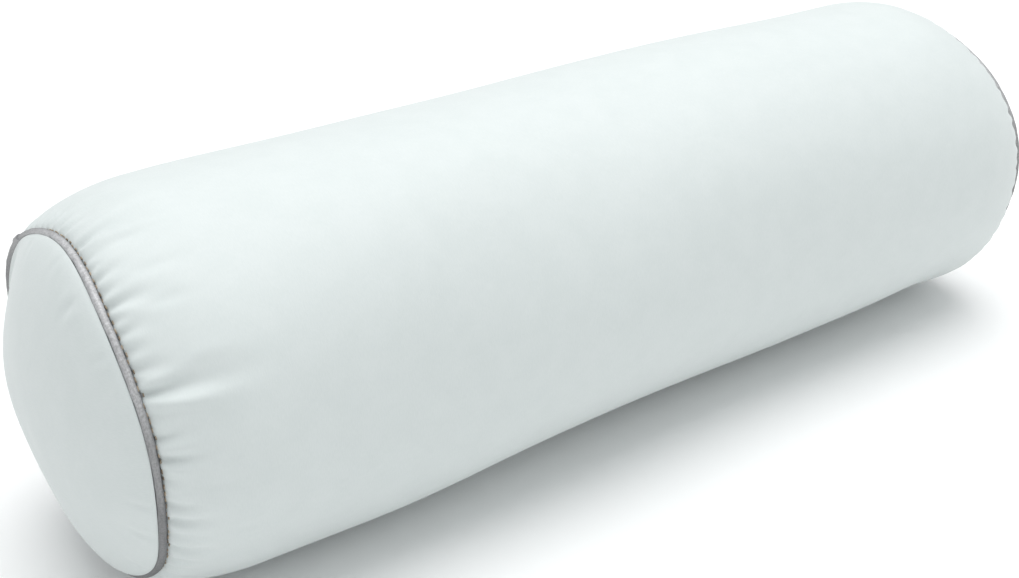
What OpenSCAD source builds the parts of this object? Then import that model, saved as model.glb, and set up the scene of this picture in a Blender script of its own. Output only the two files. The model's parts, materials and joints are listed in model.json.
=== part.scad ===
// Round bolster cushion lying on its side: a removable piped cover over a zipped-in inner pillow.
// +X runs along the bolster, +Z is up, and the origin is the middle of the flat resting face.

/* [Bolster] */
// Diameter of the stuffed body at its middle
body_d = 170; // [156:1:210]
// Length of the body panel from one end seam to the other
body_l = 492; // [380:1:620]
// Diameter of the end seams, at the middle of the piping
seam_d = 145; // [116:1:148]
// Length over which the body rounds down to each end seam
shoulder_l = 42; // [34:1:52]
// How squarely the shoulders turn: 2 is an ellipse
shoulder_power = 1.8; // [1.5:0.1:2.4]
// Height that each end panel bulges past its seam
dome_h = 23; // [16:1:30]
// Depth by which the underside lies flat under the weight
sag_h = 2.5; // [1.5:0.1:4]

/* [Cloth] */
// Thickness of the sateen cover cloth
cover_t = 0.5; // [0.3:0.05:0.8]
// Thickness of the inner pillow's liner cloth
liner_t = 0.4; // [0.2:0.05:0.6]
// Width of the seam allowances turned inside
seam_allow = 12; // [8:1:16]

/* [Piping] */
// Diameter of the filler cord in the piping
piping_cord_d = 2.4; // [2.3:0.1:5]
// Thickness of the bias strip wrapped round the cord
bias_t = 0.35; // [0.2:0.05:0.5]

/* [Filling] */
// How much smaller in radius the foam core is than the end seams
foam_inset = 7.5; // [6:0.5:16]
// Length of the turned-in edge of each liner end
liner_allow = 8; // [5:1:12]

/* [Zip] */
// Angle of the zip line above the horizontal, at the back
zip_angle = 24; // [5:1:40]
// Distance from each end of the zip opening to the shoulder
zip_end_space = 14; // [13:1:60]
// Gap between the two folded cover edges that shows the zip
zip_slot_w = 8.4; // [7.8:0.1:12]
// Width of the folded hem beside the zip
hem_w = 10; // [6:0.5:12]
// Width of each zip tape
tape_w = 13; // [10:0.5:16]
// Thickness of the zip tapes
tape_t = 0.5; // [0.3:0.05:0.7]
// Width of the closed zip chain
chain_w = 4.6; // [4:0.1:5]
// Height of the coil above the tape
chain_h = 1.8; // [1.4:0.1:2.2]
// Length of the slider
slider_l = 9.5; // [8.5:0.1:12]
// Thickness of the slider's plates and side walls
slider_t = 0.9; // [0.7:0.05:1.1]
// Length of the pull tab from its pin
pull_l = 24; // [16:1:34]
// Width of the pull tab
pull_w = 5.6; // [5:0.1:8]
// Thickness of the pull tab, which is also its pin's diameter
pull_t = 1.2; // [0.9:0.05:1.3]

/* [Stitching] */
// Length of one stitch
stitch_l = 2.4; // [1.5:0.1:2.8]
// Distance from the start of one stitch to the next
stitch_pitch = 4; // [3.2:0.1:6]
// Thickness of the sewing thread
thread_t = 0.35; // [0.2:0.05:0.5]

/* [Hidden] */
$fn = 96;

// Clearances
lay_gap = 0.08;
cord_gap = 0.05;
soft_gap = 0.3;
run_gap = 0.2;
cut_over = 5;

// Main radii and planes
body_r = body_d / 2;
seam_r = seam_d / 2;
half_l = body_l / 2;
axis_z = body_r - sag_h;
piping_r = piping_cord_d / 2 + cord_gap + bias_t;
flange_stop = piping_cord_d / 4;
shoulder_x = half_l - shoulder_l;
panel_x = half_l - piping_r - lay_gap;
edge_drop = 0.3;
edge_r = seam_r - edge_drop;
band_x = panel_x - seam_allow;

// Depths below the cover's outside of what is sewn together at an end seam
hem_depth = 2 * cover_t;
flange_depth = hem_depth + lay_gap;
skirt_depth = flange_depth + 2 * bias_t + lay_gap;
under_piping_r = min(seam_r - piping_r - lay_gap, edge_r - skirt_depth);

// Zip levels, measured from the bolster's middle line
tape_r = body_r - hem_depth - lay_gap;
coil_base = tape_r + cord_gap;
coil_top = coil_base + chain_h;
plate_low = tape_r - tape_t - run_gap - slider_t;
plate_high = coil_top + run_gap;
slider_top = plate_high + slider_t;
post_w = 1.8;
post_l = 2.3;
post_x = 1.6;
post_room = 0.25;
tape_part = post_w / 2 + post_room;
coil_part = 0.06;
coil_chamfer = 0.5;
slider_w = chain_w + 2 * (run_gap + slider_t);
slider_nose = 1.4;

// Zip places along the bolster
zip_l = 2 * (shoulder_x - zip_end_space);
tape_tail = 11;
stop_l = 1.8;
stop_inset = 1;
stop_gap = 0.3;
bottom_stop_l = 3;
stop_bite = 0.4;
stop_under = 0.6;
slider_x = zip_l / 2 - stop_inset - stop_l - stop_gap - slider_l / 2;
coil_start = -zip_l / 2 + stop_inset + bottom_stop_l + lay_gap;
coil_end = slider_x + post_x - run_gap;

// Slider bridge and pull tab
bridge_half = 3.8;
bridge_leg = 1.1;
bridge_w = 1.6;
bridge_bar = 0.9;
pull_play = 0.8;
bridge_room = pull_t + pull_play;
bridge_sink = 0.2;
pin_y = slider_top + bridge_room / 2;
window_l = 5;
window_side_gap = 0.5;
window_w = bridge_w + 2 * window_side_gap;
pull_tilt = 2;
pull_corner = 1.3;
pull_hole_d = 2.4;

// Stitching
end_stitch_inset = 2 * thread_t;
end_stitch_pitch = 0.8 * stitch_pitch;
liner_stitch_pitch = 1.25 * stitch_pitch;
zip_row_inset = 2;
bar_overrun = 1;
bar_space = 1.5;

// Inner pillow
liner_depth = max(skirt_depth + cover_t, body_r - plate_low, sag_h + cover_t) + soft_gap;
liner_edge_r = edge_r - liner_depth;
liner_skirt_r = liner_edge_r - liner_t - lay_gap;
liner_end_gap = 0.2;
liner_end_x = panel_x + liner_end_gap;
liner_dome_h = half_l + dome_h - cover_t - soft_gap - liner_end_x;
wadding_depth = liner_depth + liner_t + soft_gap;
foam_r = seam_r - foam_inset;
foam_end_gap = 0.5;
foam_x = panel_x - liner_allow - foam_end_gap;
pad_r = liner_skirt_r - liner_t - soft_gap;
pad_dome_h = liner_dome_h - liner_t - soft_gap;

// Stations along half the bolster where the shoulder's outline has its corners
shoulder_steps = 5;
band_steps = 6;
band_crowding = 1.6;
dome_steps = 12;
dome_power = 1.24;
shoulder_stations = [
    for (i = [0 : shoulder_steps - 1]) shoulder_x + (band_x - shoulder_x) * i / shoulder_steps
];
band_stations = [
    for (i = [0 : band_steps]) panel_x - seam_allow * pow(1 - i / band_steps, band_crowding)
];
outline_stations = concat(shoulder_stations, band_stations);

// Radius of the cover's outside at a distance x from the middle
function cover_r(x) =
    let (u = min(1, max(0, (x - shoulder_x) / (panel_x - shoulder_x))))
    edge_r + (body_r - edge_r) * pow(1 - pow(u, shoulder_power), 1 / shoulder_power);

// Points [radius, x] of the cover's outline, lowered by depth, over these stations
function lowered(depth, stations) = [for (x = stations) [cover_r(x) - depth, x]];

function reversed(points) = [for (i = [len(points) - 1 : -1 : 0]) points[i]];
function mirrored(points) = [for (p = reversed(points)) [p[0], -p[1]]];
function both_ends(points) = concat(mirrored(points), points);

// Outline of a domed end, from its rim to the middle line
function dome(x, r, h) = [
    for (i = [0 : dome_steps])
        let (a = 90 * (1 - i / dome_steps))
        [r * sin(a), x + h * pow(cos(a), dome_power)]
];

function arc_angle(distance, r) = distance / r * 180 / PI;

// Turns a flat [radius, x] outline round the bolster's middle line
module around_x(angle = 360) {
    rotate([90, 0, 90])
        rotate_extrude(angle = angle) children();
}

// Carries a flat [y, z] outline along X
module along_x(x_from, x_to) {
    translate([x_from, 0, 0])
        rotate([90, 0, 90])
        linear_extrude(x_to - x_from) children();
}

module on_axis() {
    translate([0, 0, axis_z]) children();
}

module above(z) {
    intersection() {
        children();
        translate([-body_l, -body_d, z]) cube([2 * body_l, 2 * body_d, 2 * body_d]);
    }
}

module left_or_right(left) {
    on_axis() mirror([left ? 1 : 0, 0, 0]) children();
}

// Zip frame: +Y points out of the cloth along the zip line, +Z up along the cloth
module at_zip() {
    on_axis() rotate([zip_angle, 0, 0]) children();
}

// Curved strip of a tube between two radii, from one distance along the cloth to another
module strip(r_in, r_out, x_from, x_to, from, to) {
    start = arc_angle(from, r_out);
    rotate([start, 0, 0])
        around_x(arc_angle(to, r_out) - start)
        translate([r_in, x_from]) square([r_out - r_in, x_to - x_from]);
}

// A ring of stitches, its thread lying on radius r between two x planes
module stitch_ring(r, x, pitch, height) {
    count = floor(2 * PI * r / pitch);
    for (i = [0 : count - 1])
        rotate([i * 360 / count, 0, 0])
        translate([x, r, -stitch_l / 2]) cube([thread_t, height, stitch_l]);
}

module body_panel() {
    hem_reach = zip_slot_w / 2 + hem_w;
    inside = both_ends(concat(
        lowered(cover_t, shoulder_stations),
        [[cover_r(band_x) - cover_t, band_x]],
        lowered(hem_depth, band_stations),
        [[edge_r - hem_depth, panel_x + cut_over], [0, panel_x + cut_over]]
    ));
    outside = both_ends(concat(lowered(0, outline_stations), [[0, panel_x]]));
    color("#E4EBE9")
    difference() {
        union() {
            difference() {
                above(0) on_axis() around_x() polygon(outside);
                above(cover_t) on_axis() around_x() polygon(inside);
            }
            at_zip()
                strip(body_r - hem_depth, body_r - cover_t / 2, -zip_l / 2 - hem_w,
                      zip_l / 2 + hem_w, -hem_reach, hem_reach);
        }
        at_zip()
            translate([-zip_l / 2, body_r - cut_over, -zip_slot_w / 2])
            cube([zip_l, 2 * cut_over, zip_slot_w]);
    }
}

// Domed end panel with its edge turned in under the piping and the body panel
module end_panel(left) {
    lip = piping_r + lay_gap;
    turn = [
        [under_piping_r, half_l + lip],
        [under_piping_r, panel_x]
    ];
    skirt = [for (i = [0 : band_steps - 1]) [cover_r(band_stations[i]) - skirt_depth, band_stations[i]]];
    outside = concat(skirt, reversed(turn), dome(half_l + lip, edge_r, dome_h - lip));
    inner_lip = lip + cover_t;
    inside = concat(
        [for (p = skirt) [p[0] - cover_t, p[1]]],
        [[under_piping_r - cover_t, panel_x], [under_piping_r - cover_t, half_l + inner_lip]],
        dome(half_l + inner_lip, edge_r - cover_t, dome_h - cover_t - inner_lip)
    );
    color("#D3DAD9")
    left_or_right(left)
        around_x() polygon(concat(outside, reversed(inside)));
}

// Bias strip wrapped round the filler cord, with its flange sewn into the seam
module piping(left) {
    flange = concat(
        lowered(flange_depth, band_stations),
        [[edge_r - flange_depth, half_l - flange_stop]],
        [[edge_r - flange_depth - 2 * bias_t, half_l - flange_stop]],
        reversed(lowered(flange_depth + 2 * bias_t, band_stations))
    );
    color("#8E9492")
    left_or_right(left)
        around_x()
        difference() {
            union() {
                translate([seam_r, half_l]) circle(piping_r, $fn = 48);
                polygon(flange);
            }
            translate([seam_r, half_l]) circle(piping_r - bias_t, $fn = 48);
        }
}

module piping_cord(left) {
    color("#EDE9DF")
    left_or_right(left)
        around_x() translate([seam_r, half_l]) circle(piping_cord_d / 2, $fn = 48);
}

module end_stitches(left) {
    stitch_x = panel_x - end_stitch_inset;
    color("#8A7B66")
    left_or_right(left)
        stitch_ring(cover_r(stitch_x) + lay_gap, stitch_x, end_stitch_pitch, thread_t);
}

module zip_tape(side) {
    near = side > 0 ? tape_part : -tape_part - tape_w;
    color("#DDE3E1")
    at_zip()
        strip(tape_r - tape_t, tape_r, -zip_l / 2 - tape_tail, zip_l / 2 + tape_tail,
              near, near + tape_w);
}

module zip_coil(side) {
    outer = chain_w / 2;
    color("#F0F2F0")
    at_zip()
        mirror([0, 0, side > 0 ? 0 : 1])
        along_x(coil_start, coil_end)
        polygon([
            [coil_base, coil_part],
            [coil_base, outer],
            [coil_top - coil_chamfer, outer],
            [coil_top, outer - coil_chamfer],
            [coil_top, coil_part]
        ]);
}

// Slider seen from above: a blunt shield, widest towards the closing end
module slider_outline() {
    polygon([for (p = [
        [-slider_l / 2, -slider_w / 2 + slider_nose / 2],
        [-slider_l / 2 + slider_nose / 2, -slider_w / 2],
        [slider_l / 2 - slider_nose, -slider_w / 2],
        [slider_l / 2, -slider_w / 2 + slider_nose],
        [slider_l / 2, slider_w / 2 - slider_nose],
        [slider_l / 2 - slider_nose, slider_w / 2],
        [-slider_l / 2 + slider_nose / 2, slider_w / 2],
        [-slider_l / 2, slider_w / 2 - slider_nose / 2]
    ]) [-p[1], p[0]]]);
}

// Lifts a [-z, x] outline to a plate between two heights over the zip line
module plate(y_from, y_to) {
    translate([0, y_from, 0])
        rotate([-90, -90, 0])
        linear_extrude(y_to - y_from) children();
}

module zip_slider() {
    wall_z = chain_w / 2 + run_gap;
    wall_l = slider_l - slider_nose - slider_nose / 2;
    color("#C9CCCB")
    at_zip()
    translate([slider_x, 0, 0]) {
        plate(plate_low, plate_low + slider_t) slider_outline();
        plate(plate_high, slider_top) slider_outline();
        for (side = [-1, 1])
            translate([-slider_l / 2 + slider_nose / 2, tape_r + run_gap,
                       side > 0 ? wall_z : -wall_z - slider_t])
            cube([wall_l, plate_high - tape_r - run_gap + slider_t / 2, slider_t]);
        translate([post_x, plate_low + slider_t / 2, -post_w / 2])
            cube([post_l, plate_high - plate_low, post_w]);
        for (end = [-bridge_half, bridge_half - bridge_leg])
            translate([end, slider_top - bridge_sink, -bridge_w / 2])
            cube([bridge_leg, bridge_room + bridge_sink + bridge_bar / 2, bridge_w]);
        translate([-bridge_half, slider_top + bridge_room, -bridge_w / 2])
            cube([2 * bridge_half, bridge_bar, bridge_w]);
    }
}

// Pull tab: a flat tab with a window round the bridge, hung on its own cross pin
module zip_pull() {
    half_w = pull_w / 2;
    corner = pull_corner;
    color("#C4C8C7")
    at_zip()
    translate([slider_x, pin_y, 0])
    rotate([0, 0, pull_tilt]) {
        difference() {
            translate([0, -pull_t / 2, 0])
                plate(0, pull_t)
                polygon([
                    [-half_w, 0],
                    [half_w, 0],
                    [half_w, corner - pull_l],
                    [half_w - corner, -pull_l],
                    [corner - half_w, -pull_l],
                    [-half_w, corner - pull_l]
                ]);
            translate([-window_l - pull_t / 2, -pull_t, -window_w / 2])
                cube([window_l + pull_t, 2 * pull_t, window_w]);
            translate([corner * 2 - pull_l, 0, 0])
                rotate([90, 0, 0])
                cylinder(h = 2 * pull_t, d = pull_hole_d, center = true);
        }
        cylinder(h = pull_w, d = pull_t, center = true);
    }
}

// Crimped metal stop that grips a tape edge: a block with a slot for the tape
module stop_block(x, length, z_in, z_out, low, high) {
    difference() {
        translate([x, low, z_in]) cube([length, high - low, z_out - z_in]);
        translate([x - cut_over, tape_r - tape_t - 2 * lay_gap, tape_part - lay_gap])
            cube([length + 2 * cut_over, tape_t + 3 * lay_gap, z_out]);
    }
}

module zip_top_stops() {
    color("#B9BDBC")
    at_zip()
        for (side = [0, 1])
        mirror([0, 0, side])
        stop_block(zip_l / 2 - stop_inset - stop_l, stop_l, tape_part - 2 * lay_gap - stop_bite,
                   chain_w / 2 + stop_bite, tape_r - tape_t - stop_under, coil_top - stop_bite);
}

module zip_bottom_stop() {
    half_w = chain_w / 2 + stop_under;
    color("#B9BDBC")
    at_zip()
        for (side = [0, 1])
        mirror([0, 0, side])
        stop_block(stop_inset - zip_l / 2, bottom_stop_l, 0, half_w,
                   tape_r - tape_t - stop_under, coil_top);
}

// Two rows of topstitching beside the zip, with a bar of stitching across each end
module zip_stitches() {
    row = zip_slot_w / 2 + zip_row_inset;
    row_l = zip_l + 2 * stitch_l;
    count = floor(row_l / stitch_pitch);
    thread_r = body_r + lay_gap;
    bar_reach = row + bar_overrun;
    bar_x = row_l / 2 + bar_space;
    color("#E9EDEA")
    at_zip() {
        for (side = [-1, 1])
            rotate([side * arc_angle(row, body_r), 0, 0])
            for (i = [0 : count - 1])
            translate([-row_l / 2 + (i + 0.5) * row_l / count - stitch_l / 2, thread_r, -thread_t / 2])
            cube([stitch_l, thread_t, thread_t]);
        for (end = [-1, 1])
            strip(thread_r, thread_r + thread_t, end * bar_x - thread_t,
                  end * bar_x + thread_t, -bar_reach, bar_reach);
    }
}

module liner_body() {
    open_end = liner_end_x + cut_over;
    color("#EFEFEB")
    on_axis()
    difference() {
        around_x() polygon(both_ends(concat(lowered(liner_depth, outline_stations), [[0, panel_x]])));
        around_x() polygon(both_ends(concat(
            lowered(liner_depth + liner_t, outline_stations),
            [[liner_edge_r - liner_t, open_end], [0, open_end]]
        )));
    }
}

// Domed end of the liner, its edge turned in under the liner's body
module liner_end(left) {
    inner_x = panel_x - liner_allow;
    rim_x = liner_end_x + liner_t;
    color("#EAEAE6")
    left_or_right(left)
        around_x()
        polygon(concat(
            [[liner_skirt_r, inner_x], [liner_skirt_r, liner_end_x]],
            dome(liner_end_x, liner_edge_r, liner_dome_h),
            reversed(dome(rim_x, liner_edge_r - liner_t, liner_dome_h - 2 * liner_t)),
            [[liner_skirt_r - liner_t, rim_x], [liner_skirt_r - liner_t, inner_x]]
        ));
}

module liner_stitches() {
    stitch_x = band_stations[band_steps / 2];
    color("#D8D8D2")
    for (left = [false, true])
        left_or_right(left)
        stitch_ring(cover_r(stitch_x) - liner_depth + lay_gap, stitch_x, liner_stitch_pitch,
                    thread_t / 2);
}

module wadding_wrap() {
    stations = [for (x = outline_stations) if (x < foam_x) x];
    bore_r = foam_r + soft_gap;
    color("#F7F7F3")
    on_axis()
        around_x()
        polygon(concat(
            [[bore_r, -foam_x]],
            both_ends(concat(lowered(wadding_depth, stations),
                             [[cover_r(foam_x) - wadding_depth, foam_x]])),
            [[bore_r, foam_x]]
        ));
}

module wadding_pad(left) {
    color("#F5F5F1")
    left_or_right(left)
        around_x()
        polygon(concat(
            [[0, foam_x + soft_gap], [pad_r, foam_x + soft_gap]],
            dome(liner_end_x, pad_r, pad_dome_h)
        ));
}

module foam_core() {
    color("#EFE3B8")
    on_axis()
        along_x(-foam_x, foam_x) circle(foam_r);
}

body_panel();
end_panel(true);  // end_panel_left
end_panel(false);  // end_panel_right
piping(true);  // piping_left
piping(false);  // piping_right
piping_cord(true);  // piping_cord_left
piping_cord(false);  // piping_cord_right
end_stitches(true);  // end_stitches_left
end_stitches(false);  // end_stitches_right
zip_tape(1);  // zip_tape_upper
zip_tape(-1);  // zip_tape_lower
zip_coil(1);  // zip_coil_upper
zip_coil(-1);  // zip_coil_lower
zip_slider();
zip_pull();
zip_top_stops();
zip_bottom_stop();
zip_stitches();
liner_body();
liner_end(true);  // liner_end_left
liner_end(false);  // liner_end_right
liner_stitches();
wadding_wrap();
wadding_pad(true);  // wadding_pad_left
wadding_pad(false);  // wadding_pad_right
foam_core();
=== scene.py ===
import json
import math

import bpy
import numpy as np
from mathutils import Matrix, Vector


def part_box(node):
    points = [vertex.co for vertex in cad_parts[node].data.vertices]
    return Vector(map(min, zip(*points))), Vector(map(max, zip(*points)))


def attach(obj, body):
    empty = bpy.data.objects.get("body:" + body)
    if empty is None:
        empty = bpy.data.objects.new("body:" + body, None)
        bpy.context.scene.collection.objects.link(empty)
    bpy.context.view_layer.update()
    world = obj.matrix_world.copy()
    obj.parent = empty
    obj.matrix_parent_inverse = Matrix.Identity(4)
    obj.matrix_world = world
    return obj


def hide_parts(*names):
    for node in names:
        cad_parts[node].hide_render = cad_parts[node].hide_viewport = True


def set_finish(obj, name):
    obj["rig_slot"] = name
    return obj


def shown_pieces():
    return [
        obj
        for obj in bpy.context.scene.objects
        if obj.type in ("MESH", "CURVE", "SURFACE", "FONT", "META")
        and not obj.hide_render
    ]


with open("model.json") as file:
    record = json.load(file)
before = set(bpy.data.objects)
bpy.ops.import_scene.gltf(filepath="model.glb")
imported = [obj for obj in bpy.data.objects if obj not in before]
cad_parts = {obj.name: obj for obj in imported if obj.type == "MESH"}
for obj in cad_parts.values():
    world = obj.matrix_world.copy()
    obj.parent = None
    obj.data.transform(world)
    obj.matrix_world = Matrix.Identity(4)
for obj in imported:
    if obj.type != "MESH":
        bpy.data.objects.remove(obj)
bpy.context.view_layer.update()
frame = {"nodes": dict(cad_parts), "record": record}  # frame["bodies"], ["nodes"], ["joints"], ["record"]

# %% [markdown]
# # A round bolster cushion
# A bolster is a tube of cloth with a round panel at each end. Piping is caught in both end seams,
# a zip closes the back, and an inner pillow of foam and wadding fills it. This lesson makes every
# piece as its own surface, in the order a sewing room would meet them. All lengths are in metres.

# %% [markdown]
# ## Sizes from the CAD frame
# Nothing is measured by eye: the radii and places are read from the CAD nodes, so that each cloth
# surface lies where its solid lies. The angle of the zip line comes from the pull tab's joint.

# %% Sizes
MM = 0.001


def corner(node, high, axis):
    """One coordinate of a CAD node's box: its high or low side along axis 0, 1 or 2."""
    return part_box(node)[1 if high else 0][axis]


def cad_points(node):
    """All the points of a CAD node's mesh, one row each."""
    vertices = frame["nodes"][node].data.vertices
    flat = np.zeros(3 * len(vertices), dtype=np.float32)
    vertices.foreach_get("co", flat)
    return flat.reshape(-1, 3).astype(float)


BODY_R = corner("body_panel", True, 1)
AXIS_Z = corner("body_panel", True, 2) - BODY_R
PANEL_X = corner("body_panel", True, 0)
CORD_R = (corner("piping_cord_right", True, 0) - corner("piping_cord_right", False, 0)) / 2
HALF_L = corner("piping_cord_right", True, 0) - CORD_R
SEAM_R = corner("piping_cord_right", True, 1) - CORD_R
PIPE_R = corner("piping_right", True, 0) - HALF_L
DOME_X = corner("end_panel_right", True, 0)
LINER_DOME_X = corner("liner_end_right", True, 0)
FOAM_X = corner("foam_core", True, 0)
FOAM_R = corner("foam_core", True, 1)

panel = cad_points("body_panel")
panel_radius = np.hypot(panel[:, 1], panel[:, 2] - AXIS_Z)
# A CAD point this close to a surface counts as on it
TOUCH = 0.05 * MM
SHOULDER_X = np.abs(panel[panel_radius > BODY_R - TOUCH, 0]).max()
EDGE_R = panel_radius[np.abs(panel[:, 0]) > PANEL_X - TOUCH].max()
SHOULDER_POWER = 1.8

hinge = [j for j in frame["record"]["behaviour"]["joints"] if j["name"] == "zip_pull_flip"][0]
ZIP_ANGLE = math.atan2(hinge["pos_m"][2] - AXIS_Z, hinge["pos_m"][1])
ZIP_OUT = np.array([0, math.cos(ZIP_ANGLE), math.sin(ZIP_ANGLE)])
ZIP_UP = np.array([0, -math.sin(ZIP_ANGLE), math.cos(ZIP_ANGLE)])
AXIS = np.array([0, 0, AXIS_Z])


def zip_box(node):
    """Low and high corner of a CAD node along X, out of the cloth, and along the cloth at the zip."""
    co = cad_points(node) - AXIS
    parts = np.stack([co[:, 0], co @ ZIP_OUT, co @ ZIP_UP], 1)
    return parts.min(0), parts.max(0)


STOP_INSET = 1 * MM
ZIP_HALF = zip_box("zip_top_stops")[1][0] + STOP_INSET
# Half the gap between the two folded edges at the zip, and the width of cloth folded under
SLOT_HALF = 4.2 * MM
HEM_W = 10 * MM
# Smallest radius that a row of points is drawn with before it closes to a point
TINY = 1e-7
print(f"body radius {BODY_R:.4f}, seam radius {SEAM_R:.4f}")
print(f"edge radius {EDGE_R:.4f}, shoulder from {SHOULDER_X:.4f}")
print(f"zip at {math.degrees(ZIP_ANGLE):.2f} degrees, opening {2 * ZIP_HALF:.4f}")

# %% [markdown]
# ## The outline of the cover
# Seen from the side, the cover runs straight along the middle and rounds over a shoulder to each
# seam. The shoulder is a quarter of a superellipse. One table holds the outline against the
# distance s along the cloth from the seam, and every sewn layer is read from it.

# %% Outline table
TABLE_STEPS = 900
quarter = np.linspace(np.pi / 2, 0, TABLE_STEPS)
table_x = SHOULDER_X + (PANEL_X - SHOULDER_X) * np.sin(quarter) ** (2 / SHOULDER_POWER)
table_r = EDGE_R + (BODY_R - EDGE_R) * np.cos(quarter) ** (2 / SHOULDER_POWER)
table_x = np.append(table_x, 0.0)
table_r = np.append(table_r, BODY_R)
table_s = np.concatenate([[0], np.cumsum(np.hypot(np.diff(table_x), np.diff(table_r)))])
slope_x = np.gradient(table_x, table_s)
slope_r = np.gradient(table_r, table_s)
HALF_CLOTH = table_s[-1]


def outline(s, depth=0.0):
    """Point (|x|, r) at distance s from the seam, lowered by depth along the inward normal.
    outline(s) = table(s) - depth * normal(s), with normal = (dr/ds, -dx/ds) turned outward."""
    x, r = np.interp(s, table_s, table_x), np.interp(s, table_s, table_r)
    dx, dr = np.interp(s, table_s, slope_x), np.interp(s, table_s, slope_r)
    size = np.hypot(dx, dr)
    return x - depth * dr / size, r + depth * dx / size


def cover_r(x):
    """Radius of the cover at a distance x from the middle:
    r = edge + (body - edge) * (1 - u^p)^(1/p), where u runs from 0 to 1 over the shoulder."""
    u = np.clip((np.abs(x) - SHOULDER_X) / (PANEL_X - SHOULDER_X), 0, 1)
    return EDGE_R + (BODY_R - EDGE_R) * (1 - u ** SHOULDER_POWER) ** (1 / SHOULDER_POWER)


def smooth(t):
    """Smooth step: 3t^2 - 2t^3 for t held between 0 and 1."""
    t = np.clip(t, 0, 1)
    return t * t * (3 - 2 * t)


def turn(a, b):
    """Signed angle from b to a, between -pi and pi."""
    return (a - b + np.pi) % (2 * np.pi) - np.pi


def hill(a, centre, width):
    """Bell over the angle a: exp(-(turn / width)^2)."""
    return np.exp(-(turn(a, centre) / width) ** 2)


print(f"half of the body cloth, seam to middle: {HALF_CLOTH:.4f}")

# %% [markdown]
# ## How the stuffed cushion settles
# A stuffed bolster is never a perfect tube. It is a little wider than high, a little slimmer in the
# middle, softly uneven, and flat where it lies. The hand-sewn end seams wander too. One function
# moves every layer together, so that cloth, wadding and foam keep their order. It leaves the zip
# line alone, because the metal parts there are stiff.

# %% Settling
OVAL = 0.014
WAIST = 0.006
WAIST_X = 0.05
WAIST_L = 0.12
ZIP_CALM = 0.42
SEAM_REACH = 0.034
CALM_REACH = 1.3 * SEAM_REACH
WAVE_COUNT = 16
WAVE_H = 0.24 * MM
waves = np.random.default_rng(11)
wave_turns = waves.integers(2, 8, WAVE_COUNT)
wave_pace = waves.uniform(4, 38, WAVE_COUNT) * waves.choice([-1, 1], WAVE_COUNT)
wave_start = waves.uniform(0, 2 * np.pi, WAVE_COUNT)
# Each row: side, angle in degrees, outward mm, towards the middle mm
SEAM_WANDER = [
    (-1, 18, 0.9, -2.8), (-1, 45, -1.4, -0.8), (-1, 70, -3.6, -0.7), (-1, 95, -0.8, 1.5),
    (-1, 120, -0.4, -0.6), (-1, 145, -0.3, -0.4), (-1, 170, 0.1, 1.2), (-1, 195, 0.2, -0.7),
    (-1, 220, 0.9, 2.2), (-1, 245, -0.3, -1.8), (-1, 320, -0.6, 0.4),
    (1, 60, -1.6, 1.0), (1, 95, -2.2, 1.4), (1, 120, -1.8, 1.2), (1, 145, 0.2, 0.0),
    (1, 170, 1.6, -1.9), (1, 195, 1.0, -0.6), (1, 220, 3.2, -2.8), (1, 245, 2.2, -1.2),
    (1, 320, -0.8, 0.6),
]
WANDER_WIDTH = math.radians(26)
# Fuller and slacker places: distance along the bolster, height at the top and low in front in mm
FULLNESS = [
    (-0.19, -1.5, 0.2), (-0.13, -2.0, 2.4), (-0.065, -0.6, 0.0), (0.0, 0.8, -0.7),
    (0.065, 0.1, -0.8), (0.13, -0.3, -1.0), (0.19, -0.9, 0.7), (0.228, 1.4, -3.4),
]
FULL_ANGLES = (math.radians(57), math.radians(237))
FULL_LENGTH = 0.05
FULL_WIDTH = 0.75
# The left end is slack in one part, near its rim at the back
SLACK_AT = math.radians(30)
SLACK_WIDTH = math.radians(30)
SLACK_H = 10 * MM
SLACK_EASE = 6 * MM
# Where the cloth meets the table: spare height, softness of the meeting, and smallest slope
TABLE_SPARE = 0.3 * MM
TABLE_SOFT = 0.6 * MM
LEAST_DOWN = 1e-3


def seam_shift(side, theta):
    """Outward and lengthwise wander of one end seam at each angle: a sum of bells."""
    out, along = np.zeros_like(theta), np.zeros_like(theta)
    for which, angle, up, inward in SEAM_WANDER:
        if which == side:
            bell = hill(theta, math.radians(angle), WANDER_WIDTH)
            out = out + up * MM * bell
            along = along - side * inward * MM * bell
    return out, along


def unevenness(x, theta):
    """Soft swell of the filling: sum of WAVE_H * cos(m theta + k x + phase) / sqrt(m / 2)."""
    swell = np.zeros(np.broadcast(x, theta).shape)
    for m, k, start in zip(wave_turns, wave_pace, wave_start):
        swell = swell + WAVE_H * np.cos(m * theta + k * x + start) / math.sqrt(m / 2)
    for at, high, low in FULLNESS:
        here = np.exp(-((x - at) / FULL_LENGTH) ** 2)
        for angle, height in zip(FULL_ANGLES, (high, low)):
            swell = swell + height * MM * here * hill(theta, angle, FULL_WIDTH)
    return swell


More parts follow.
